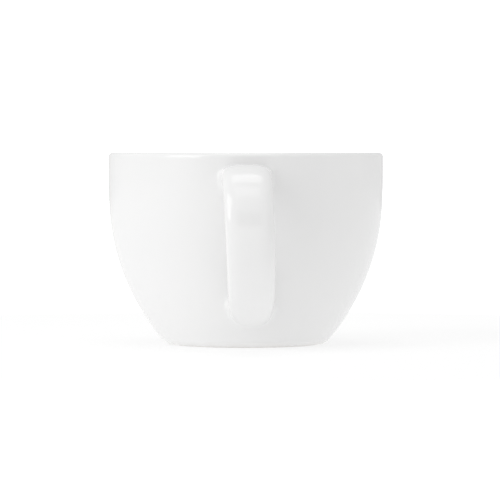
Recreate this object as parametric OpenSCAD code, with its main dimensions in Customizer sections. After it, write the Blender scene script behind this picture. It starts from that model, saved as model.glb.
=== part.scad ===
// Shaving mug: a wide porcelain bowl with one strap handle.
// Axes: +Z up from the surface the mug stands on, the mug's axis is X = Y = 0,
// and the handle stands out along -Y. Millimetres throughout.

/* [Bowl] */
// Outside diameter at the rim, over the glaze
rim_d = 96; // [92:0.5:100]
// Height from the surface it stands on to the top of the lip
mug_h = 66.9; // [66:0.1:68]
// Depth of the upright band below the lip
band_h = 6; // [5:0.5:7]
// Radius of the gently curved upper part of the wall, seen from the side
upper_curve_r = 230; // [220:5:240]
// Angle that the upper curve turns through, in degrees
upper_turn = 3.4; // [3:0.1:4]
// Radius of the rounder lower part of the wall, seen from the side
lower_curve_r = 77; // [76:0.5:79]
// Radius that turns the wall under to the foot
foot_corner_r = 6; // [5.5:0.1:7]
// Wall thickness, over the glaze on both sides
wall_t = 3.2; // [3:0.1:3.6]
// Height of the floor inside
floor_z = 6.5; // [6:0.1:7.5]
// Radius between the wall and the floor inside
floor_corner_r = 16; // [14:0.5:18]

/* [Foot] */
// Width of the flat ring that the mug stands on
foot_ring_w = 2.6; // [2:0.1:3.5]
// Depth of the hollow inside the foot ring
foot_well_h = 2; // [1.5:0.1:2.4]
// Rounding at the top and the bottom of the foot ring's inner side
foot_well_r = 0.8; // [0.5:0.1:0.9]

/* [Handle] */
// Width of the strap where it leaves the rim, over the glaze
strap_top_w = 16.7; // [15:0.1:18]
// Width of the strap at its lower end
strap_low_w = 15.6; // [14:0.1:17]
// Thickness of the strap
strap_t = 6.5; // [5.5:0.1:7.5]
// Distance from the mug's axis to the outermost point of the handle
handle_reach = 75; // [72:0.5:78]
// Depth of the upper joint's middle below the lip
upper_joint_drop = 9.8; // [9.5:0.1:11]
// Slope of the upper arm where it leaves the wall, in degrees
upper_arm_slope = 37; // [34:1:40]
// Extra thickness of the strap at its upper end
upper_root_extra = 1.8; // [1:0.2:3]
// Depth of the handle's outermost point below the lip
bulge_drop = 24; // [22:0.5:26]
// Place of the lower joint round the lower curve, in degrees below level
lower_joint_angle = 30.3; // [29:0.1:31]
// Slope of the lower arm where it meets the wall, in degrees
lower_arm_slope = 20; // [16:1:24]
// Extra thickness of the strap at its lower end
lower_root_extra = 2.4; // [1:0.2:3]
// How much the strap narrows towards its lower end
lower_taper = 1.5; // [0.5:0.1:2]
// Sideways lean of the hand-fitted handle, in degrees
handle_lean = 2.5; // [0:0.5:3]
// How far each end spreads round its joint
flare = 1.9; // [1:0.1:2]
// Squareness of the strap's cross-section: 2 is an ellipse, more is squarer
strap_squareness = 2.6; // [2.1:0.1:3]

/* [Fired layers] */
// Thickness of the fired slip that joins the handle to the bowl
slip_t = 0.4; // [0.3:0.05:0.6]
// Thickness of the glaze
glaze_t = 0.25; // [0.2:0.05:0.3]
// Angle round the foot corner at which the outer glaze stops, in degrees
glaze_stop_angle = 65; // [55:1:70]

/* [Hidden] */
$fn = 180;

// Half-profile of the bowl. Points are [distance from the axis, height].
rim_r = rim_d / 2;
lip_r = wall_t / 2;
lip_centre = [rim_r - lip_r, mug_h - lip_r];
upper_centre = [rim_r - upper_curve_r, mug_h - band_h];
lower_centre = upper_centre + (upper_curve_r - lower_curve_r) * [cos(upper_turn), -sin(upper_turn)];

// Angle steps along each curve
lip_steps = 10;
upper_steps = 6;
lower_steps = 14;
corner_steps = 8;
floor_steps = 10;

// Points along an arc from angle a0 to angle a1
function arc(centre, r, a0, a1, steps) =
    [for (i = [0:steps]) let (a = a0 + (a1 - a0) * i / steps) centre + r * [cos(a), sin(a)]];

// The corner circle stands on Z = 0 and touches the lower curve from inside, at any inset.
function corner_centre(inset) =
    let (rise = lower_centre[1] - foot_corner_r, gap = lower_curve_r - inset - foot_corner_r)
    [lower_centre[0] + sqrt(gap * gap - rise * rise), foot_corner_r];
function corner_angle(inset) =
    let (d = corner_centre(inset) - lower_centre) -atan2(d[1], d[0]);

// Outer outline from the band down to corner angle a_end, moved in by inset
function outside(inset, a_end) = concat(
    arc(upper_centre, upper_curve_r - inset, 0, -upper_turn, upper_steps),
    arc(lower_centre, lower_curve_r - inset, -upper_turn, -corner_angle(inset), lower_steps),
    arc(corner_centre(inset), foot_corner_r, -corner_angle(inset), -a_end, corner_steps));

// The floor corner circle touches the floor and the inner wall.
floor_corner_z = floor_z + floor_corner_r;
floor_gap = lower_curve_r - wall_t - floor_corner_r;
floor_rise = lower_centre[1] - floor_corner_z;
floor_centre = [lower_centre[0] + sqrt(floor_gap * floor_gap - floor_rise * floor_rise), floor_corner_z];
floor_angle = atan2(floor_rise, floor_centre[0] - lower_centre[0]);

// Inner outline from the middle of the floor up to the band, moved into the clay by depth
function inside(depth) = concat(
    [[0, floor_z - depth]],
    arc(floor_centre, floor_corner_r + depth, -90, -floor_angle, floor_steps),
    arc(lower_centre, lower_curve_r - wall_t + depth, -floor_angle, -upper_turn, lower_steps),
    arc(upper_centre, upper_curve_r - wall_t + depth, -upper_turn, 0, upper_steps));

// Lip from the inside over the top to the outside, moved in by inset
function lip(inset) = arc(lip_centre, lip_r - inset, 180, 0, lip_steps);

// Joined outlines meet at a shared point, which is kept once.
function without_repeats(points) =
    [for (i = [0:len(points) - 1]) if (i == 0 || norm(points[i] - points[i - 1]) > 0.001) points[i]];
function reversed(points) = [for (i = [len(points) - 1:-1:0]) points[i]];

// Underside of the clay from the middle of the foot well out to the bearing ring
bearing_r = corner_centre(glaze_t)[0];
well_r = bearing_r - foot_ring_w;
well_steps = 5;
function well_side(inset) = concat(
    arc([well_r - foot_well_r, foot_well_h - foot_well_r], foot_well_r - inset, 90, 0, well_steps));
function well_outline() = concat(
    [[0, foot_well_h]],
    well_side(0),
    arc([well_r + foot_well_r, foot_well_r], foot_well_r, 180, 270, well_steps));

// The solid inside the outer outline at an inset, used to end the handle on the wall
module outer_body(inset) {
    rotate_extrude()
        polygon(without_repeats(concat([[0, mug_h]], [[rim_r - inset, mug_h]], outside(inset, 90), [[0, 0]])));
}

// Centre line of the handle in the plane of [distance from the axis, height].
// Each end carries on in a straight line for a little way inside the wall.
joint_sink = 2.1;
function toward(angle) = [cos(angle), sin(angle)];
upper_joint = [rim_r, mug_h - upper_joint_drop];
lower_joint = lower_centre + lower_curve_r * toward(-lower_joint_angle);
upper_end = upper_joint - joint_sink / cos(upper_arm_slope) * toward(upper_arm_slope);
lower_end = lower_joint - joint_sink / cos(lower_joint_angle + lower_arm_slope) * toward(lower_arm_slope);
bulge = [handle_reach - strap_t / 2, mug_h - bulge_drop];

// How far each end's and the bulge's tangents reach along the curve
upper_pull = 16;
bulge_rise = 13.5;
bulge_fall = 15;
lower_pull = 20;

upper_path = [
    upper_end,
    upper_end + upper_pull * toward(upper_arm_slope),
    bulge + [0, bulge_rise],
    bulge];
lower_path = [
    bulge,
    bulge - [0, bulge_fall],
    lower_end + lower_pull * toward(lower_arm_slope),
    lower_end];

function bezier(p, t) =
    let (s = 1 - t)
    s * s * s * p[0] + 3 * s * s * t * p[1] + 3 * s * t * t * p[2] + t * t * t * p[3];
function bezier_slope(p, t) =
    let (s = 1 - t)
    s * s * (p[1] - p[0]) + 2 * s * t * (p[2] - p[1]) + t * t * (p[3] - p[2]);

// Stations are closest together near the two joints.
path_steps = 15;
crowding = 1.6;
stations = concat(
    [for (i = [0:path_steps - 1]) [0, pow(i / path_steps, crowding)]],
    [for (i = [0:path_steps]) [1, 1 - pow(1 - i / path_steps, crowding)]]);

// Length over which the ends spread, each end thickens, and each end turns to lie along the wall
flare_l = 3;
upper_root_l = 9;
lower_root_l = 14;
upper_turn_l = 10;
lower_turn_l = 15;
upper_wall_angle = 90;
lower_wall_angle = 270 - lower_joint_angle;
function spread(d) = flare * pow(max(0, 1 - max(0, d - joint_sink) / flare_l), 2);
function ease(u) = let (v = min(1, max(0, u))) v * v * (3 - 2 * v);

// One cross-section: [centre, direction of the thickness, half width, half thickness, squareness]
function section(station) =
    let (
        lower = station[0],
        t = station[1],
        centre = bezier(lower == 0 ? upper_path : lower_path, t),
        slope = bezier_slope(lower == 0 ? upper_path : lower_path, t),
        square_on = atan2(slope[1], slope[0]) + (lower == 0 ? 90 : 450),
        from_upper = norm(centre - upper_end),
        from_lower = norm(centre - lower_end),
        angle = lower == 0
            ? square_on + (upper_wall_angle - square_on) * ease(1 - from_upper / upper_turn_l)
            : square_on + (lower_wall_angle - square_on) * ease(1 - from_lower / lower_turn_l),
        extra = spread(from_upper) + spread(from_lower),
        at_upper = ease(1 - from_upper / upper_root_l),
        at_lower = ease(1 - from_lower / lower_root_l),
        strap_w = strap_top_w + (strap_low_w - strap_top_w) * (lower + t) / 2 - lower_taper * at_lower,
        thicker = (upper_root_extra * at_upper + lower_root_extra * at_lower) / 2,
        half_t = strap_t / 2 / cos(angle - square_on) + thicker + extra,
        squareness = strap_squareness + (2 - strap_squareness) * at_lower)
    [centre, toward(angle), strap_w / 2 + extra, half_t, squareness];

// Points round one cross-section, a superellipse, moved in by inset
round_steps = 28;
lean_z = (upper_joint[1] + lower_joint[1]) / 2;
function signed_power(v, e) = sign(v) * pow(abs(v), e);
function ring(s, inset) =
    [for (j = [0:round_steps - 1])
        let (
            a = 360 * j / round_steps,
            across = (s[2] - inset) * signed_power(cos(a), 2 / s[4]),
            through = (s[3] - inset) * signed_power(sin(a), 2 / s[4]),
            place = s[0] + through * s[1])
        [across - (place[1] - lean_z) * tan(handle_lean), -place[0], place[1]]];

// The whole strap as one swept solid whose ends are sunk in the wall
module strap(inset) {
    rings = [for (s = stations) ring(section(s), inset)];
    n = round_steps;
    last = len(rings) - 1;
    sides = [for (i = [0:last - 1], j = [0:n - 1], half = [0, 1])
        let (k = (j + 1) % n, a = i * n + j, b = i * n + k, c = a + n, d = b + n)
        half == 0 ? [a, d, b] : [a, c, d]];
    near_cap = [[for (j = [0:n - 1]) j]];
    far_cap = [[for (j = [n - 1:-1:0]) last * n + j]];
    polyhedron(points = [for (r = rings, p = r) p], faces = concat(sides, near_cap, far_cap));
}

// Slip left between the handle and the bowl at both joints
module joint_slips() {
    intersection() {
        strap(glaze_t);
        difference() {
            outer_body(glaze_t - slip_t);
            outer_body(glaze_t);
        }
    }
}

// Everything above or below the middle of the handle
module half_space(upper) {
    reach = 2 * handle_reach;
    translate([-reach / 2, -reach, upper ? lean_z : lean_z - reach])
        cube([reach, reach, reach]);
}

module bowl() {
    outline = concat(
        inside(glaze_t),
        lip(glaze_t),
        outside(glaze_t, 90),
        reversed(well_outline()));
    color("snow")
        rotate_extrude()
            polygon(without_repeats(outline));
}

module handle() {
    color("snow")
        difference() {
            strap(glaze_t);
            outer_body(glaze_t - slip_t);
        }
}

module upper_joint_slip() {
    color("linen")
        intersection() {
            joint_slips();
            half_space(true);
        }
}

module lower_joint_slip() {
    color("linen")
        intersection() {
            joint_slips();
            half_space(false);
        }
}

module glaze_coat() {
    skin = concat(
        inside(0),
        lip(0),
        outside(0, glaze_stop_angle),
        reversed(outside(glaze_t, glaze_stop_angle)),
        reversed(lip(glaze_t)),
        reversed(inside(glaze_t)));
    color("white")
        difference() {
            union() {
                rotate_extrude()
                    polygon(without_repeats(skin));
                difference() {
                    strap(0);
                    outer_body(glaze_t);
                }
            }
            strap(glaze_t);
        }
}

module foot_well_glaze() {
    skin = concat(
        [[0, foot_well_h - glaze_t]],
        well_side(glaze_t),
        reversed(well_side(0)),
        [[0, foot_well_h]]);
    color("white")
        rotate_extrude()
            polygon(without_repeats(skin));
}

bowl();
handle();
upper_joint_slip();
lower_joint_slip();
glaze_coat();
foot_well_glaze();
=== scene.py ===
import math

import bmesh
import bpy
import numpy as np
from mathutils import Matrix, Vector
from mathutils.geometry import delaunay_2d_cdt


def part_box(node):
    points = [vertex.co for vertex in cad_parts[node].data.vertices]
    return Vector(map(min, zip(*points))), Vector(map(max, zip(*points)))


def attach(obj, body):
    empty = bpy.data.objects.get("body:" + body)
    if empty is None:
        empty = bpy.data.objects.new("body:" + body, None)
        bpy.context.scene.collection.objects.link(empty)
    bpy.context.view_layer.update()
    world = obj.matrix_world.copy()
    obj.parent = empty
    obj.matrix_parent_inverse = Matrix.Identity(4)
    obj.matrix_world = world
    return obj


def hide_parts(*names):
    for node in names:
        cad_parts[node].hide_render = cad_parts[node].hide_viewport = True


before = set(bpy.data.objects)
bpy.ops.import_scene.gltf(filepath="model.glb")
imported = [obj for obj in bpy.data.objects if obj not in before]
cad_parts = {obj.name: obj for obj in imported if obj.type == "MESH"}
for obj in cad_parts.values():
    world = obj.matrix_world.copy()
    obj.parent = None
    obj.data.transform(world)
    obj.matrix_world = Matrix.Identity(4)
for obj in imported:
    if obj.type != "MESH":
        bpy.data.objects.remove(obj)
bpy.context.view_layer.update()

MM = 0.001

# ---------------------------------------------------------------- sizes, in metres
GLAZE_LOW, GLAZE_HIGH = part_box("glaze_coat")
RIM_R = GLAZE_HIGH.y
MUG_H = GLAZE_HIGH.z
HANDLE_REACH = -GLAZE_LOW.y

BAND_H = 6 * MM
UPPER_CURVE_R = 230 * MM
UPPER_TURN = math.radians(3.4)
LOWER_CURVE_R = 77 * MM
FOOT_CORNER_R = 6 * MM
WALL_T = 3.2 * MM
FLOOR_Z = 6.5 * MM
FLOOR_CORNER_R = 16 * MM

FOOT_RING_W = 2.6 * MM
FOOT_WELL_H = 2 * MM
FOOT_WELL_R = 0.8 * MM

STRAP_TOP_W = 16.7 * MM
STRAP_LOW_W = 15.6 * MM
STRAP_T = 6.5 * MM
UPPER_JOINT_DROP = 9.8 * MM
UPPER_ARM_SLOPE = math.radians(37)
UPPER_ROOT_EXTRA = 1.8 * MM
BULGE_DROP = 24 * MM
LOWER_JOINT_ANGLE = math.radians(30.3)
LOWER_ARM_SLOPE = math.radians(20)
LOWER_ROOT_EXTRA = 2.4 * MM
LOWER_TAPER = 1.5 * MM
HANDLE_LEAN = math.radians(2.5)
STRAP_SQUARENESS = 2.6

GLAZE_T = 0.25 * MM
GLAZE_STOP_ANGLE = math.radians(65)

# Fillet round each joint: its radius at the sides, on top and under the upper joint, and how far it may
# reach along a surface
FILLET_R = 2.4 * MM
FILLET_TOP_R = 1.3 * MM
FILLET_UNDER_R = 5 * MM
FILLET_REACH = 3.2 * MM

# Strap's side view: how far its ends run into the wall, how far each curve pulls from its ends, and the
# lengths over which its roots thicken and turn to the wall
JOINT_SINK = 2.1 * MM
UPPER_PULL = 16 * MM
BULGE_RISE = 13.5 * MM
BULGE_FALL = 15 * MM
LOWER_PULL = 20 * MM
UPPER_ROOT_L = 9 * MM
LOWER_ROOT_L = 14 * MM
UPPER_TURN_L = 10 * MM
LOWER_TURN_L = 15 * MM

# ---------------------------------------------------------------- fineness of the meshes
AROUND = 240
BAND_STEPS = 6
UPPER_STEPS = 14
LOWER_STEPS = 34
FOOT_STEPS = 14
LIP_STEPS = 20
INSIDE_FLOOR_STEPS = 14
INSIDE_CORNER_STEPS = 18
INSIDE_LOWER_STEPS = 24
INSIDE_UPPER_STEPS = 12
WELL_ROOF_STEPS = 12
WELL_CORNER_STEPS = 8
BEARING_STEPS = 3
GLAZE_EDGE_STEPS = 6
ROUND_POINTS = 72
STRAP_ROWS = 96
FILLET_STEPS = 9
SLIP_ROWS = 3
CAP_RINGS = 7

# Samples along each curve that is measured before the mesh's own points are placed on it
WALL_DENSITY = 40
SECTION_SAMPLES = 4001
ROOT_SAMPLES = 400
STRAP_SAMPLES = 1201
SLOPE_STEP = 0.05 * MM

# The wall round the joints: columns each side of the handle, the radius that it is unrolled at, how
# near its grid comes to a joint's edge, and how far two triangles that make a square may be bent
WINDOW = 16
UNROLL_R = 42 * MM
GRID_CLEAR = 0.45 * MM
SQUARE_BEND = math.radians(8)

# Points nearer than this are one point, in a profile and in a mesh
SAME_POINT = 1e-7
WELD = 2e-7

# ---------------------------------------------------------------- half-profile of the bowl
# Points are (distance from the axis, height).
LIP_R = WALL_T / 2
LIP_CENTRE = np.array([RIM_R - LIP_R, MUG_H - LIP_R])
UPPER_CENTRE = np.array([RIM_R - UPPER_CURVE_R, MUG_H - BAND_H])
LOWER_CENTRE = UPPER_CENTRE + (UPPER_CURVE_R - LOWER_CURVE_R) * np.array(
    [math.cos(UPPER_TURN), -math.sin(UPPER_TURN)])


def arc(centre, radius, start, end, steps):
    """Points along an arc between two angles in radians."""
    angles = np.linspace(start, end, steps + 1)
    return centre + radius * np.stack([np.cos(angles), np.sin(angles)], axis=1)


def line(start, end, steps):
    """Points along a straight line."""
    share = np.linspace(0, 1, steps + 1)[:, None]
    return np.array(start) * (1 - share) + np.array(end) * share


def corner_centre(inset):
    """Centre of the foot corner, which stands on the floor and touches the lower curve."""
    rise = LOWER_CENTRE[1] - FOOT_CORNER_R
    gap = LOWER_CURVE_R - inset - FOOT_CORNER_R
    return np.array([LOWER_CENTRE[0] + math.sqrt(gap ** 2 - rise ** 2), FOOT_CORNER_R])


def corner_angle(inset):
    """Angle below level at which the lower curve meets the foot corner."""
    across, up = corner_centre(inset) - LOWER_CENTRE
    return math.atan2(-up, across)


def outer_wall(inset, density=1):
    """Outer wall from the lip down to the foot corner."""
    band_low = UPPER_CENTRE + np.array([UPPER_CURVE_R - inset, 0])
    band_top = np.array([RIM_R - inset, LIP_CENTRE[1]])
    return join_points(
        line(band_top, band_low, BAND_STEPS * density),
        arc(UPPER_CENTRE, UPPER_CURVE_R - inset, 0, -UPPER_TURN, UPPER_STEPS * density),
        arc(LOWER_CENTRE, LOWER_CURVE_R - inset, -UPPER_TURN, -corner_angle(inset),
            LOWER_STEPS * density))


def foot_corner(inset, end):
    """Foot corner from the lower curve to the given angle below level."""
    return arc(corner_centre(inset), FOOT_CORNER_R, -corner_angle(inset), -end, FOOT_STEPS)


def inner_wall(depth):
    """Inside from the middle of the floor up to the lip, moved into the clay by depth."""
    floor_corner_z = FLOOR_Z + FLOOR_CORNER_R
    gap = LOWER_CURVE_R - WALL_T - FLOOR_CORNER_R
    rise = LOWER_CENTRE[1] - floor_corner_z
    across = math.sqrt(gap ** 2 - rise ** 2)
    centre = np.array([LOWER_CENTRE[0] + across, floor_corner_z])
    turn = math.atan2(rise, across)
    band_low = UPPER_CENTRE + np.array([UPPER_CURVE_R - WALL_T + depth, 0])
    return join_points(
        line([0, FLOOR_Z - depth], [centre[0], FLOOR_Z - depth], INSIDE_FLOOR_STEPS),
        arc(centre, FLOOR_CORNER_R + depth, -math.pi / 2, -turn, INSIDE_CORNER_STEPS),
        arc(LOWER_CENTRE, LOWER_CURVE_R - WALL_T + depth, -turn, -UPPER_TURN, INSIDE_LOWER_STEPS),
        arc(UPPER_CENTRE, UPPER_CURVE_R - WALL_T + depth, -UPPER_TURN, 0, INSIDE_UPPER_STEPS),
        line(band_low, [band_low[0], LIP_CENTRE[1]], BAND_STEPS))


def lip(inset):
    """Lip from the inside over the top to the outside."""
    return arc(LIP_CENTRE, LIP_R - inset, math.pi, 0, LIP_STEPS)


def join_points(*runs):
    """Runs of points as one, with each shared point kept once."""
    points = np.concatenate(runs)
    far = np.linalg.norm(np.diff(points, axis=0), axis=1) > SAME_POINT
    return points[np.concatenate([[True], far])]


# ---------------------------------------------------------------- handle
def toward(angle):
    """Direction at an angle above level, away from the axis."""
    return np.array([math.cos(angle), math.sin(angle)])


UPPER_JOINT = np.array([RIM_R, MUG_H - UPPER_JOINT_DROP])
LOWER_JOINT = LOWER_CENTRE + LOWER_CURVE_R * toward(-LOWER_JOINT_ANGLE)
UPPER_END = UPPER_JOINT - JOINT_SINK / math.cos(UPPER_ARM_SLOPE) * toward(UPPER_ARM_SLOPE)
LOWER_END = LOWER_JOINT - (
    JOINT_SINK / math.cos(LOWER_JOINT_ANGLE + LOWER_ARM_SLOPE) * toward(LOWER_ARM_SLOPE))
BULGE = np.array([HANDLE_REACH - STRAP_T / 2, MUG_H - BULGE_DROP])
LEAN_Z = (UPPER_JOINT[1] + LOWER_JOINT[1]) / 2

UPPER_PATH = np.array([
    UPPER_END,
    UPPER_END + UPPER_PULL * toward(UPPER_ARM_SLOPE),
    BULGE + [0, BULGE_RISE],
    BULGE])
LOWER_PATH = np.array([
    BULGE,
    BULGE - [0, BULGE_FALL],
    LOWER_END + LOWER_PULL * toward(LOWER_ARM_SLOPE),
    LOWER_END])


def bezier(path, t):
    """Point and slope of a cubic curve."""
    s = 1 - t
    point = s ** 3 * path[0] + 3 * s * s * t * path[1] + 3 * s * t * t * path[2] + t ** 3 * path[3]
    slope = s * s * (path[1] - path[0]) + 2 * s * t * (path[2] - path[1]) + t * t * (path[3] - path[2])
    return point, slope


def signed_power(value, power):
    return np.sign(value) * np.abs(value) ** power


def section_angles(count):
    """Angles that space points evenly round the strap's cross-section."""
    fine = np.linspace(0, 2 * math.pi, SECTION_SAMPLES)
    x = STRAP_TOP_W / 2 * signed_power(np.cos(fine), 2 / STRAP_SQUARENESS)
    y = STRAP_T / 2 * signed_power(np.sin(fine), 2 / STRAP_SQUARENESS)
    run = np.concatenate([[0], np.cumsum(np.hypot(np.diff(x), np.diff(y)))])
    return np.interp(np.arange(count) / count * run[-1], run, fine)


def ease(value):
    """A smooth step from 0 to 1, held outside that range."""
    value = min(1, max(0, value))
    return value * value * (3 - 2 * value)


SECTION_ANGLES = section_angles(ROUND_POINTS)


def strap_ring(place, inset):
    """Points round the strap at place, which runs from 0 at the upper joint to 2 at the lower."""
    lower = place > 1
    centre, slope = bezier(LOWER_PATH if lower else UPPER_PATH, place - 1 if lower else place)
    square_on = math.atan2(slope[1], slope[0]) + (2.5 if lower else 0.5) * math.pi
    end, turn_l = (LOWER_END, LOWER_TURN_L) if lower else (UPPER_END, UPPER_TURN_L)
    wall_angle = 1.5 * math.pi - LOWER_JOINT_ANGLE if lower else 0.5 * math.pi
    angle = square_on + (wall_angle - square_on) * ease(1 - np.linalg.norm(centre - end) / turn_l)
    at_upper = ease(1 - np.linalg.norm(centre - UPPER_END) / UPPER_ROOT_L)
    at_lower = ease(1 - np.linalg.norm(centre - LOWER_END) / LOWER_ROOT_L)
    strap_w = STRAP_TOP_W + (STRAP_LOW_W - STRAP_TOP_W) * place / 2 - LOWER_TAPER * at_lower
    half_w = strap_w / 2 - inset
    thicker = (UPPER_ROOT_EXTRA * at_upper + LOWER_ROOT_EXTRA * at_lower) / 2
    half_t = STRAP_T / 2 / math.cos(angle - square_on) + thicker - inset
    squareness = STRAP_SQUARENESS + (2 - STRAP_SQUARENESS) * at_lower
    across = half_w * signed_power(np.cos(SECTION_ANGLES), 2 / squareness)
    through = half_t * signed_power(np.sin(SECTION_ANGLES), 2 / squareness)
    out = centre[0] + through * math.cos(angle)
    up = centre[1] + through * math.sin(angle)
    return np.stack([across - (up - LEAN_Z) * math.tan(HANDLE_LEAN), -out, up], axis=1)


class Wall:
    """The bowl's outer wall at an inset, as a surface of revolution."""

    def __init__(self, inset):
        points = outer_wall(inset, WALL_DENSITY)
        self.r, self.z = points[:, 0], points[:, 1]
        steps = np.linalg.norm(np.diff(points, axis=0), axis=1)
        self.run = np.concatenate([[0], np.cumsum(steps)])

    def radius(self, z):
        """The wall's radius at a height."""
        return np.interp(-z, -self.z, self.r)

    def run_at(self, z):
        """How far down along the wall a height is."""
        return np.interp(-z, -self.z, self.run)

    def gap(self, points):
        """How far outside the wall each point is, level with it."""
        return np.hypot(points[:, 0], points[:, 1]) - self.radius(points[:, 2])

    def normal(self, points):
        """The wall's outward direction level with each point."""
        higher = self.radius(points[:, 2] + SLOPE_STEP)
        slope = (higher - self.radius(points[:, 2] - SLOPE_STEP)) / (2 * SLOPE_STEP)
        flat = np.hypot(points[:, 0], points[:, 1])
        normals = np.stack([points[:, 0] / flat, points[:, 1] / flat, -slope], axis=1)
        return unit(normals)

    def drop_on(self, points, lift=0.0):
        """The points moved level with themselves onto the wall, or onto a skin lift outside it."""
        flat = np.hypot(points[:, 0], points[:, 1])
        r = self.radius(points[:, 2]) + lift
        return np.stack([points[:, 0] * r / flat, points[:, 1] * r / flat, points[:, 2]], axis=1)


def unit(vectors):
    return vectors / np.linalg.norm(vectors, axis=1, keepdims=True)


def strap_lines(inset, places):
    """The strap's rings at many places: lines[place, point]."""
    return np.stack([strap_ring(p, inset) for p in places])


def joint_fillet(wall, inset, low, high):
    """Rows from the wall up the fillet to the strap, and where on the strap each line starts.
    low is the end of the strap inside the wall, and high a place well outside it."""
    upper = high > low
    places = np.linspace(low, high, ROOT_SAMPLES)
    lines = strap_lines(inset, places)
    count = lines.shape[1]
    starts = np.empty(count)
    hit, away, side, top, slope = np.empty((5, count, 3))
    run = np.zeros((len(places), count))
    run[1:] = np.cumsum(np.linalg.norm(np.diff(lines, axis=0), axis=2), axis=0)
    first = np.empty(count, int)
    for j in range(count):
        gaps = wall.gap(lines[:, j])
        i = int(np.argmax(gaps > 0))
        first[j] = i
        share = -gaps[i - 1] / (gaps[i] - gaps[i - 1])
        hit[j] = lines[i - 1, j] * (1 - share) + lines[i, j] * share
        away[j] = lines[i, j] - lines[i - 1, j]
        side[j] = lines[i, (j + 1) % count] - lines[i, j - 1]
    away = unit(away)
    strap_normal = unit(np.cross(away, side))
    middle = hit.mean(axis=0)
    flip = np.sign(np.sum(strap_normal * (hit - middle), axis=1, keepdims=True))
    strap_normal = strap_normal * flip
    wall_normal = wall.normal(hit)
    dot = np.sum(strap_normal * wall_normal, axis=1, keepdims=True)
    along_wall = unit(strap_normal - dot * wall_normal)
    along_strap = unit(wall_normal - dot * strap_normal)
    wedge = np.arccos(np.clip(np.sum(along_wall * along_strap, axis=1), -1, 1))
    upward = np.clip(strap_normal[:, 2], 0, 1) ** 2
    downward = np.clip(-strap_normal[:, 2], 0, 1) ** 2 if upper else 0
    fillet_r = (FILLET_R + (FILLET_TOP_R - FILLET_R) * upward
                + (FILLET_UNDER_R - FILLET_R) * downward + inset)
    reach = np.minimum(fillet_r / np.tan(wedge / 2), FILLET_REACH)
    radius = reach * np.tan(wedge / 2)
    strap_reach = reach / np.sum(away * along_strap, axis=1)
    onward = 1 if upper else -1
    for j in range(count):
        base = run[first[j], j] - np.linalg.norm(lines[first[j], j] - hit[j])
        starts[j] = np.interp(base + strap_reach[j], run[:, j], places)
        i = int(np.searchsorted(onward * places, onward * starts[j]))
        share = (starts[j] - places[i - 1]) / (places[i] - places[i - 1])
        top[j] = lines[i - 1, j] * (1 - share) + lines[i, j] * share
        slope[j] = lines[i, j] - lines[i - 1, j]
    slope = unit(slope)
    foot = wall.drop_on(hit + along_wall * reach[:, None])
    foot_normal = wall.normal(foot)
    in_wall = unit(along_wall - np.sum(along_wall * foot_normal, axis=1, keepdims=True) * foot_normal)
    pull = (4 / 3 * np.tan((math.pi - wedge) / 4) * radius)[:, None]
    rows = []
    for t in np.linspace(0, 1, FILLET_STEPS + 1):
        s = 1 - t
        rows.append(s ** 3 * foot + 3 * s * s * t * (foot - in_wall * pull)
                    + 3 * s * t * t * (top - slope * pull) + t ** 3 * top)
    return np.array(rows), starts


def handle_rows(wall, inset):
    """Rows of points from the upper joint's edge on the wall to the lower joint's."""
    upper_rows, upper_starts = joint_fillet(wall, inset, 0.0, 0.6)
    lower_rows, lower_starts = joint_fillet(wall, inset, 2.0, 1.4)
    fine = np.linspace(0, 2, STRAP_SAMPLES)
    lines = strap_lines(inset, fine)
    middle = np.empty((STRAP_ROWS + 1, ROUND_POINTS, 3))
    for j in range(ROUND_POINTS):
        run = np.concatenate([[0], np.cumsum(np.linalg.norm(np.diff(lines[:, j], axis=0), axis=1))])
        ends = np.interp([upper_starts[j], lower_starts[j]], fine, run)
        places = np.interp(np.linspace(ends[0], ends[1], STRAP_ROWS + 1), run, fine)
        for k in range(3):
            middle[:, j, k] = np.interp(places, fine, lines[:, j, k])
    return upper_rows, middle, lower_rows[::-1]


# ---------------------------------------------------------------- meshes
def revolve(bm, points, skip=None):
    """Adds a surface of revolution; skip(row, column) leaves a face out."""
    rows = []
    for r, z in points:
        if r < SAME_POINT:
            rows.append([bm.verts.new((0, 0, z))])
            continue
        angles = [-math.pi / 2 + 2 * math.pi * k / AROUND for k in range(AROUND)]
        rows.append([bm.verts.new((r * math.cos(a), r * math.sin(a), z)) for a in angles])
    for i in range(len(rows) - 1):
        a, b = rows[i], rows[i + 1]
        for k in range(AROUND):
            n = (k + 1) % AROUND
            if skip and skip(i, k):
                continue
            corners = [a[k % len(a)], a[n % len(a)], b[n % len(b)], b[k % len(b)]]
            unique = list(dict.fromkeys(corners))
            if len(unique) > 2:
                bm.faces.new(unique)
    return rows


def loft(bm, rows):
    """Adds closed rings joined one to the next."""
    made = [[bm.verts.new(p) for p in row] for row in rows]
    for a, b in zip(made, made[1:]):
        for j in range(len(a)):
            k = (j + 1) % len(a)
            bm.faces.new([a[j], a[k], b[k], b[j]])
    return made


def inside_ring(points, ring):
    """Whether each 2-D point lies inside a closed ring."""
    x, y = points[:, 0], points[:, 1]
    result = np.zeros(len(points), bool)
    for (x0, y0), (x1, y1) in zip(ring, np.roll(ring, -1, axis=0)):
        if y0 != y1:
            crosses = (y0 > y) != (y1 > y)
            result ^= crosses & (x < (x1 - x0) * (y - y0) / (y1 - y0) + x0)
    return result


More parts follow.
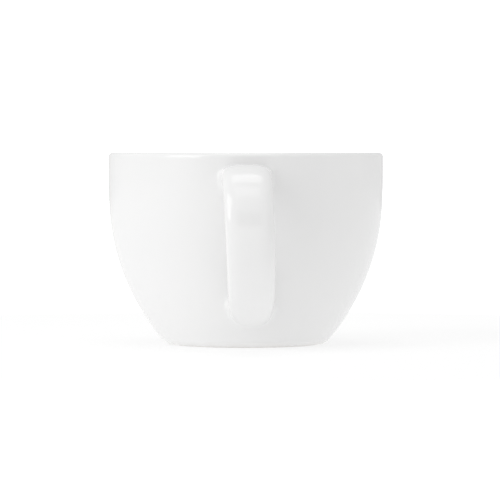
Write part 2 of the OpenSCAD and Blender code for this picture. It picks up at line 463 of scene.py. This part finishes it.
def wall_with_joints(bm, wall, profile, edges):
    """Adds the part of the outer wall that carries the handle, open inside the two joint edges."""
    def flatten(points):
        angle = np.arctan2(points[:, 0], -points[:, 1])
        return np.stack([angle * UNROLL_R, wall.run_at(points[:, 2])], axis=1)

    columns = np.arange(-WINDOW, WINDOW + 1) * 2 * math.pi / AROUND
    grid = np.array([[a * UNROLL_R, wall.run_at(z)] for r, z in profile for a in columns])
    spots = np.array([[r * math.sin(a), -r * math.cos(a), z] for r, z in profile for a in columns])
    rings = [flatten(e) for e in edges]
    keep = np.ones(len(grid), bool)
    for ring in rings:
        keep &= ~inside_ring(grid, ring)
        for corner in ring:
            keep &= np.hypot(*(grid - corner).T) > GRID_CLEAR
    keep |= np.any((grid == grid.min(axis=0)) | (grid == grid.max(axis=0)), axis=1)
    flat = np.concatenate([grid[keep]] + rings)
    solid = np.concatenate([spots[keep]] + list(edges))
    links = []
    base = int(keep.sum())
    for ring in rings:
        n = len(ring)
        links += [(base + j, base + (j + 1) % n) for j in range(n)]
        base += n
    _, _, faces, origin, _, _ = delaunay_2d_cdt(
        [Vector(p) for p in flat / MM], links, [], 0, 1e-6)
    triangles = np.array([[origin[v][0] for v in face] for face in faces])
    middles = flat[triangles].mean(axis=1)
    open_area = np.any([inside_ring(middles, ring) for ring in rings], axis=0)
    vertices = [bm.verts.new(p) for p in solid]
    made = [bm.faces.new([vertices[i] for i in corners]) for corners in triangles[~open_area]]
    bmesh.ops.join_triangles(bm, faces=made, angle_face_threshold=SQUARE_BEND,
                             angle_shape_threshold=SQUARE_BEND)


def mug_skin(bm, inset):
    """Adds the whole surface that the glaze covers, moved into the clay by inset."""
    wall = Wall(inset)
    inner = join_points(inner_wall(inset), lip(inset))
    outer = outer_wall(inset)
    low = foot_corner(inset, GLAZE_STOP_ANGLE)
    profile = join_points(inner, outer, low)
    first = len(inner) - 1
    last = first + len(outer) - 1

    def in_window(row, column):
        offset = column if column < AROUND // 2 else column - AROUND
        return first <= row < last and -WINDOW <= offset < WINDOW

    revolve(bm, profile, in_window)
    upper, middle, lower = handle_rows(wall, inset)
    loft(bm, join_rows(upper, middle, lower))
    wall_with_joints(bm, wall, outer, [upper[0], lower[-1]])


def join_rows(*runs):
    """Runs of rings as one, with each shared ring kept once."""
    rows = list(runs[0])
    for run in runs[1:]:
        rows += list(run[1:])
    return rows


def finish_piece(bm, name, material, node):
    """Makes an object from the mesh, smooth all over, and ties it to the CAD."""
    bmesh.ops.remove_doubles(bm, verts=bm.verts, dist=WELD)
    loose = [v for v in bm.verts if not v.link_faces]
    bmesh.ops.delete(bm, geom=loose, context="VERTS")
    bmesh.ops.recalc_face_normals(bm, faces=bm.faces)
    mesh = bpy.data.meshes.new(name)
    bm.to_mesh(mesh)
    bm.free()
    for polygon in mesh.polygons:
        polygon.use_smooth = True
    mesh.materials.append(material)
    piece = bpy.data.objects.new(name, mesh)
    bpy.context.scene.collection.objects.link(piece)
    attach(piece, "root")
    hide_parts(node)
    return piece


def glaze_coat(material):
    """The glaze as a closed skin: its outside, the clay side and the rounded edge at the foot."""
    bm = bmesh.new()
    mug_skin(bm, 0.0)
    mug_skin(bm, GLAZE_T)
    outside_end = foot_corner(0.0, GLAZE_STOP_ANGLE)[-1]
    clay_end = foot_corner(GLAZE_T, GLAZE_STOP_ANGLE)[-1]
    middle = (outside_end + clay_end) / 2
    radius = np.linalg.norm(outside_end - clay_end) / 2
    revolve(bm, arc(middle, radius, 0, -math.pi, GLAZE_EDGE_STEPS))
    return finish_piece(bm, "glaze_skin", material, "glaze_coat")


def well_side(inset):
    """Corner between the foot well's roof and the ring's inner side."""
    well_r = corner_centre(GLAZE_T)[0] - FOOT_RING_W
    centre = np.array([well_r - FOOT_WELL_R, FOOT_WELL_H - FOOT_WELL_R])
    return arc(centre, FOOT_WELL_R - inset, math.pi / 2, 0, WELL_CORNER_STEPS)


def bowl_clay(material):
    """The clay of the bowl: inside, lip, outside, foot ring and foot well."""
    bm = bmesh.new()
    well_r = corner_centre(GLAZE_T)[0] - FOOT_RING_W
    ring_corner = np.array([well_r + FOOT_WELL_R, FOOT_WELL_R])
    ring_side = arc(ring_corner, FOOT_WELL_R, math.pi, 1.5 * math.pi, WELL_CORNER_STEPS)
    roof = line([0, FOOT_WELL_H], well_side(0)[0], WELL_ROOF_STEPS)
    underside = join_points(roof, well_side(0), ring_side)
    bearing = line(foot_corner(GLAZE_T, math.pi / 2)[-1], underside[-1], BEARING_STEPS)
    profile = join_points(
        inner_wall(GLAZE_T), lip(GLAZE_T), outer_wall(GLAZE_T),
        foot_corner(GLAZE_T, math.pi / 2), bearing, underside[::-1])
    revolve(bm, profile)
    return finish_piece(bm, "bowl_clay", material, "bowl")


def well_glaze(material):
    """The glaze inside the foot ring."""
    bm = bmesh.new()

    def well_profile(inset):
        side = well_side(inset)
        return join_points(line([0, FOOT_WELL_H - inset], side[0], WELL_ROOF_STEPS), side)

    visible, hidden = well_profile(GLAZE_T), well_profile(0)
    middle = (visible[-1] + hidden[-1]) / 2
    radius = np.linalg.norm(visible[-1] - hidden[-1]) / 2
    edge = arc(middle, radius, math.pi, 2 * math.pi, GLAZE_EDGE_STEPS)
    revolve(bm, join_points(visible, edge, hidden[::-1]))
    return finish_piece(bm, "foot_well_skin", material, "foot_well_glaze")


def cap_rows(wall, ring, lift):
    """Rings that close a joint, following the wall, from the edge in to the middle."""
    middle = ring.mean(axis=0)
    rows = [ring]
    for i in range(1, CAP_RINGS):
        rows.append(wall.drop_on(middle + (ring - middle) * (1 - i / CAP_RINGS), lift))
    return rows, wall.drop_on(middle[None], lift)[0]


def add_cap(bm, wall, ring, lift):
    """Closes the end of a piece with a cap that follows the wall."""
    rows, middle = cap_rows(wall, ring, lift)
    made = loft(bm, rows)
    tip = bm.verts.new(middle)
    inner = made[-1]
    for j in range(len(inner)):
        bm.faces.new([inner[j], inner[(j + 1) % len(inner)], tip])


def handle_clay(material, wall, upper, middle, lower, cut):
    """The clay of the handle between the two slip joints, which take cut rows at each end."""
    bm = bmesh.new()
    rows = join_rows(upper[cut:], middle, lower[:len(lower) - cut])
    loft(bm, rows)
    for ring in (rows[0], rows[-1]):
        add_cap(bm, wall, ring, float(wall.gap(ring).mean()))
    return finish_piece(bm, "handle_clay", material, "handle")


def joint_slip(name, node, material, wall, rows):
    """The fired slip between one end of the handle and the bowl."""
    bm = bmesh.new()
    loft(bm, rows)
    for ring in (rows[0], rows[-1]):
        add_cap(bm, wall, ring, float(wall.gap(ring).mean()))
    return finish_piece(bm, name, material, node)


# ---------------------------------------------------------------- materials
GLAZE_ROUGHNESS = 0.15
GLAZE_ROUGHNESS_SPREAD = 0.02
GLAZE_IOR = 1.52
GLAZE_DARKER = (0.848, 0.848, 0.846)
GLAZE_LIGHTER = (0.868, 0.868, 0.867)
GLAZE_THIN = (0.80, 0.785, 0.76)
SPECK = (0.62, 0.60, 0.57)
CLAY_COLOUR = (0.84, 0.825, 0.80)
CLAY_GRAIN = 0.6 * MM
SLIP_COLOUR = (0.81, 0.80, 0.77)
SLIP_GRAIN = 0.35 * MM
GRAIN_SHADE = 0.9
DUST = (0.45, 0.40, 0.34)
RUBBED = (0.52, 0.51, 0.49)


def new_material(name):
    material = bpy.data.materials.new(name)
    material.use_nodes = True
    return material


class Recipe:
    """Builds a procedural material from textures placed on the object in metres."""

    def __init__(self, name):
        self.material = new_material(name)
        self.nodes = self.material.node_tree.nodes
        self.links = self.material.node_tree.links
        self.shader = self.nodes["Principled BSDF"]
        self.place = self.nodes.new("ShaderNodeTexCoord").outputs["Object"]

    def noise(self, size, detail=2, distortion=0.0):
        """Soft noise whose features are about size across."""
        node = self.nodes.new("ShaderNodeTexNoise")
        node.inputs["Scale"].default_value = 1 / size
        node.inputs["Detail"].default_value = detail
        node.inputs["Distortion"].default_value = distortion
        self.links.new(self.place, node.inputs["Vector"])
        return node.outputs["Fac"]

    def spots(self, spacing, radius):
        """Small round spots, one in each cell of the spacing: 1 at a spot's middle, 0 outside."""
        node = self.nodes.new("ShaderNodeTexVoronoi")
        node.inputs["Scale"].default_value = 1 / spacing
        self.links.new(self.place, node.inputs["Vector"])
        return self.between(node.outputs["Distance"], radius / spacing, 0, 0, 1)

    def height(self):
        """Height above the surface that the mug stands on."""
        node = self.nodes.new("ShaderNodeSeparateXYZ")
        self.links.new(self.place, node.inputs["Vector"])
        return node.outputs["Z"]

    def between(self, value, low, high, to_low, to_high):
        """The value mapped from low..high onto to_low..to_high, and held at the ends."""
        node = self.nodes.new("ShaderNodeMapRange")
        self.links.new(value, node.inputs["Value"])
        for name, number in (("From Min", low), ("From Max", high), ("To Min", to_low), ("To Max", to_high)):
            node.inputs[name].default_value = number
        return node.outputs["Result"]

    def times(self, first, second):
        node = self.nodes.new("ShaderNodeMath")
        node.operation = "MULTIPLY"
        self.links.new(first, node.inputs[0])
        self.links.new(second, node.inputs[1])
        return node.outputs[0]

    def blend(self, share, first, second):
        """Mixes two colours, each a plain colour or another output, by share."""
        node = self.nodes.new("ShaderNodeMix")
        node.data_type = "RGBA"
        self.links.new(share, node.inputs["Factor"])
        for socket, colour in ((node.inputs["A"], first), (node.inputs["B"], second)):
            if isinstance(colour, tuple):
                socket.default_value = colour + (1,)
            else:
                self.links.new(colour, socket)
        return node.outputs["Result"]

    def bump(self, height, depth, under=None):
        """Relief of the given depth, on top of another bump if there is one."""
        node = self.nodes.new("ShaderNodeBump")
        node.inputs["Strength"].default_value = 1
        node.inputs["Distance"].default_value = depth
        self.links.new(height, node.inputs["Height"])
        if under:
            self.links.new(under, node.inputs["Normal"])
        return node.outputs["Normal"]

    def feed(self, socket, value):
        self.links.new(value, self.shader.inputs[socket])


def glaze_material():
    """Clear glaze over white porcelain: glossy, faintly wavy, with a few pinholes and specks."""
    glaze = Recipe("clear_glaze_on_white")
    glaze.shader.inputs["IOR"].default_value = GLAZE_IOR
    tint = glaze.blend(glaze.noise(28 * MM), GLAZE_DARKER, GLAZE_LIGHTER)
    thin = glaze.between(glaze.height(), 0.6 * MM, 2.2 * MM, 0.5, 0)
    ragged = glaze.times(thin, glaze.between(glaze.noise(5 * MM, 3), 0.35, 0.6, 0.2, 1))
    tint = glaze.blend(ragged, tint, GLAZE_THIN)
    rare = glaze.between(glaze.noise(9 * MM, 0), 0.62, 0.66, 0, 1)
    specks = glaze.times(glaze.spots(6 * MM, 0.14 * MM), rare)
    glaze.feed("Base Color", glaze.blend(specks, tint, SPECK))
    glaze.feed("Roughness", glaze.between(
        glaze.noise(11 * MM, 3), 0.3, 0.7,
        GLAZE_ROUGHNESS - GLAZE_ROUGHNESS_SPREAD, GLAZE_ROUGHNESS + GLAZE_ROUGHNESS_SPREAD))
    wavy = glaze.bump(glaze.noise(7 * MM, 1), 0.006 * MM)
    peel = glaze.bump(glaze.noise(0.9 * MM, 1), 0.0006 * MM, wavy)
    few = glaze.between(glaze.noise(13 * MM, 0), 0.58, 0.62, 0, 1)
    pits = glaze.times(glaze.spots(4.3 * MM, 0.12 * MM), few)
    glaze.feed("Normal", glaze.bump(pits, -0.03 * MM, peel))
    return glaze.material


def clay_material(name, colour, grain):
    """Bare fired porcelain: dry, finely grained, specked, and rubbed grey where the mug stands."""
    clay = Recipe(name)
    clay.shader.inputs["Specular IOR Level"].default_value = 0.35
    darker = tuple(c * GRAIN_SHADE for c in colour)
    body = clay.blend(clay.between(clay.noise(grain, 4), 0.35, 0.6, 0, 1), darker, colour)
    dust = clay.times(clay.spots(1.9 * MM, 0.11 * MM), clay.between(clay.noise(3 * MM, 0), 0.5, 0.55, 0, 1))
    body = clay.blend(dust, body, DUST)
    contact = clay.between(clay.height(), 0.02 * MM, 0.35 * MM, 0.75, 0)
    rub = clay.times(contact, clay.between(clay.noise(4 * MM, 5, 1.5), 0.42, 0.62, 0, 1))
    clay.feed("Base Color", clay.blend(rub, body, RUBBED))
    clay.feed("Roughness", clay.between(rub, 0, 1, 0.82, 0.5))
    clay.feed("Normal", clay.bump(clay.noise(grain, 4), 0.03 * MM))
    return clay.material


# ---------------------------------------------------------------- studio
CAMERA_DISTANCE = 1.198
CAMERA_AZIMUTH = math.radians(-1.4)
CAMERA_HEIGHT = MUG_H
AIM_Z = 0.0328
AIM_RIGHT = 0.0015
LENS = 246.9
SENSOR_W = 36

# Soft boxes that face the mug's middle: name, azimuth and elevation in degrees, size and radiance.
# Azimuth 0 is the camera's side, and it grows to the right.
LIGHT_DISTANCE = 1.6
LIGHTS = (
    ("key_left", -55, 23, (0.9, 1.1), 2.2),
    ("right_side", 90, 14, (1.3, 0.8), 0.28),
    ("top_front", 0, 60, (0.9, 0.6), 0.85),
    ("overhead", 180, 86, (0.9, 0.7), 1.45),
)
WORLD_GLOW = 0.735

# The floor glows a little, so that it stays white under the mug's shadow
FLOOR_R = 1.5
FLOOR_SHADE = 0.35
FLOOR_GLOW = 0.66
SURROUND_SHADE = 0.9
SURROUND_GLOW = 1.0
STAGE_ROUGHNESS = 0.9
BARE_FLOOR_R = 0.22
SURROUND_LIFT = 0.001
STAGE_R = 2.6
SCREEN_H = 2.4
STAGE_STEPS = 48
CARD_W = 0.65
CARD_H = 0.45
CARD_DISTANCE = 1.1
CARD_SHADE = 0.02


def make_camera():
    data = bpy.data.cameras.new("camera")
    data.lens = LENS
    data.sensor_width = SENSOR_W
    camera = bpy.data.objects.new("camera", data)
    bpy.context.scene.collection.objects.link(camera)
    right = Vector((math.cos(CAMERA_AZIMUTH), math.sin(CAMERA_AZIMUTH), 0))
    back = Vector((math.sin(CAMERA_AZIMUTH), -math.cos(CAMERA_AZIMUTH), 0))
    aim = right * AIM_RIGHT + Vector((0, 0, AIM_Z))
    camera.location = right * AIM_RIGHT + back * CAMERA_DISTANCE + Vector((0, 0, CAMERA_HEIGHT))
    camera.rotation_euler = (aim - camera.location).to_track_quat("-Z", "Y").to_euler()
    bpy.context.scene.camera = camera


def area_light(name, azimuth, elevation, size, radiance):
    """A soft box, facing the mug's middle, that the camera doesn't see."""
    data = bpy.data.lights.new(name, "AREA")
    data.shape = "RECTANGLE"
    data.size, data.size_y = size
    data.energy = radiance * math.pi * size[0] * size[1]
    light = bpy.data.objects.new(name, data)
    light.visible_camera = False
    bpy.context.scene.collection.objects.link(light)
    turn, tilt = math.radians(azimuth), math.radians(elevation)
    away = Vector((math.sin(turn) * math.cos(tilt), -math.cos(turn) * math.cos(tilt), math.sin(tilt)))
    light.location = Vector((0, 0, MUG_H / 2)) + away * LIGHT_DISTANCE
    light.rotation_euler = (-away).to_track_quat("-Z", "Y").to_euler()


def stage_piece(name, bm, shade, glow):
    """A plain surface of the studio that may glow as well as be lit."""
    mesh = bpy.data.meshes.new(name)
    bm.to_mesh(mesh)
    bm.free()
    piece = bpy.data.objects.new(name, mesh)
    bpy.context.scene.collection.objects.link(piece)
    material = new_material("pale_" + name)
    shader = material.node_tree.nodes["Principled BSDF"]
    shader.inputs["Base Color"].default_value = (shade, shade, shade, 1)
    shader.inputs["Roughness"].default_value = STAGE_ROUGHNESS
    shader.inputs["Specular IOR Level"].default_value = 0.0
    shader.inputs["Emission Color"].default_value = (1, 1, 1, 1)
    shader.inputs["Emission Strength"].default_value = glow
    mesh.materials.append(material)
    return piece


def make_floor():
    bm = bmesh.new()
    bmesh.ops.create_circle(bm, cap_ends=True, segments=STAGE_STEPS, radius=FLOOR_R)
    return stage_piece("floor", bm, FLOOR_SHADE, FLOOR_GLOW)


def make_surround():
    """A white sweep over the far floor and up behind it, which only the camera sees."""
    bm = bmesh.new()
    rows = []
    for i in range(STAGE_STEPS):
        turn = 2 * math.pi * i / STAGE_STEPS
        x, y = math.cos(turn), math.sin(turn)
        rows.append([bm.verts.new((r * x, r * y, z)) for r, z in (
            (BARE_FLOOR_R, SURROUND_LIFT), (STAGE_R, SURROUND_LIFT), (STAGE_R, SCREEN_H))])
    for near, far in zip(rows, rows[1:] + rows[:1]):
        bm.faces.new([near[0], near[1], far[1], far[0]])
        bm.faces.new([near[1], near[2], far[2], far[1]])
    surround = stage_piece("surround", bm, SURROUND_SHADE, SURROUND_GLOW)
    surround.visible_diffuse = False
    surround.visible_glossy = False
    surround.visible_shadow = False


def make_camera_card():
    """The dark side of the studio where the camera stands. The camera doesn't see it."""
    bm = bmesh.new()
    bmesh.ops.create_grid(bm, x_segments=1, y_segments=1, size=0.5)
    card = stage_piece("camera_card", bm, CARD_SHADE, 0.0)
    card.scale = (CARD_W, CARD_H, 1)
    card.location = (0, -CARD_DISTANCE, CARD_H / 2)
    card.rotation_euler = (math.pi / 2, 0, 0)
    card.visible_camera = False
    card.visible_shadow = False


def make_studio():
    world = bpy.data.worlds.new("studio")
    world.use_nodes = True
    sky = world.node_tree.nodes["Background"]
    sky.inputs["Color"].default_value = (1, 1, 1, 1)
    sky.inputs["Strength"].default_value = WORLD_GLOW
    bpy.context.scene.world = world
    bpy.context.scene.view_settings.view_transform = "Standard"
    make_floor()
    make_surround()
    make_camera_card()
    for light in LIGHTS:
        area_light(*light)


# ---------------------------------------------------------------- build
make_camera()
make_studio()

GLAZE = glaze_material()
CLAY = clay_material("bare_porcelain", CLAY_COLOUR, CLAY_GRAIN)
SLIP = clay_material("fired_slip", SLIP_COLOUR, SLIP_GRAIN)

glaze_coat(GLAZE)
bowl_clay(CLAY)
well_glaze(GLAZE)
clay_wall = Wall(GLAZE_T)
upper_rows, middle_rows, lower_rows = handle_rows(clay_wall, GLAZE_T)
handle_clay(CLAY, clay_wall, upper_rows, middle_rows, lower_rows, SLIP_ROWS)
joint_slip("upper_slip", "upper_joint_slip", SLIP, clay_wall, upper_rows[:SLIP_ROWS + 1])
joint_slip("lower_slip", "lower_joint_slip", SLIP, clay_wall, lower_rows[-SLIP_ROWS - 1:])
